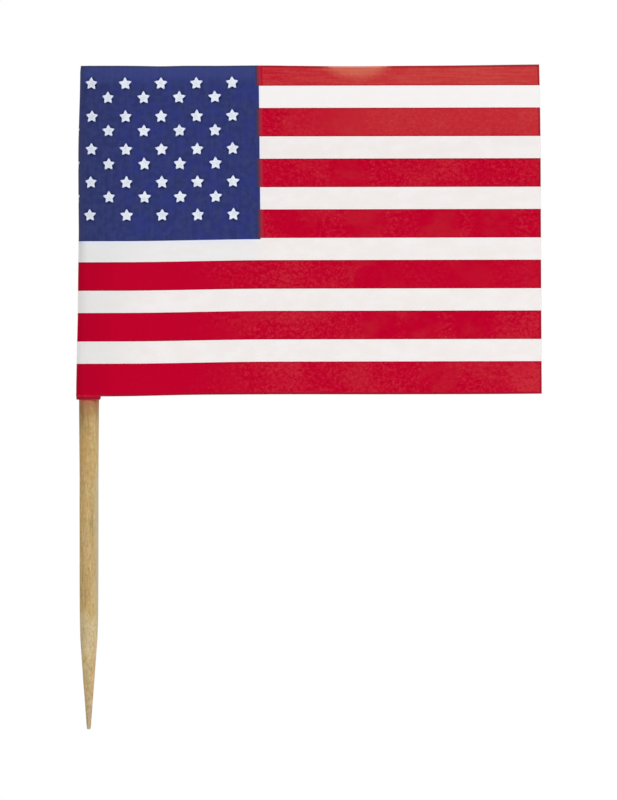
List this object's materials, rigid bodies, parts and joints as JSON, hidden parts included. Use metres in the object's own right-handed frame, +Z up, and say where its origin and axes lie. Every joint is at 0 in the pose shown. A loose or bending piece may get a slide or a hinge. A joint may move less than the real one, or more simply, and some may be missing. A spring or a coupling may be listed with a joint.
{
  "type": "flag pick",
  "caption": "Pointed round wooden pick with a small rectangular paper flag, striped with a starred corner field, folded round its upper half and pasted.",
  "frame": {"origin": "middle of the pick's blunt point, which is pushed into the food", "axes": "+Z up along the pick from its point to its head, +X out along the flag to its fly edge, -Y the side of the flat front leaf"},
  "size_m": [0.0459, 0.0026, 0.0653],
  "materials": {
    "wood": "bare turned softwood, dry",
    "printed_paper": "smooth uncoated paper with matt ink",
    "paste": "dried clear paste"
  },
  "bodies": {
    "root": {"wooden_pick": "wood", "pick_paste": "paste", "paper_flag": "printed_paper", "leaf_paste": "paste"}
  },
  "joints": []
}
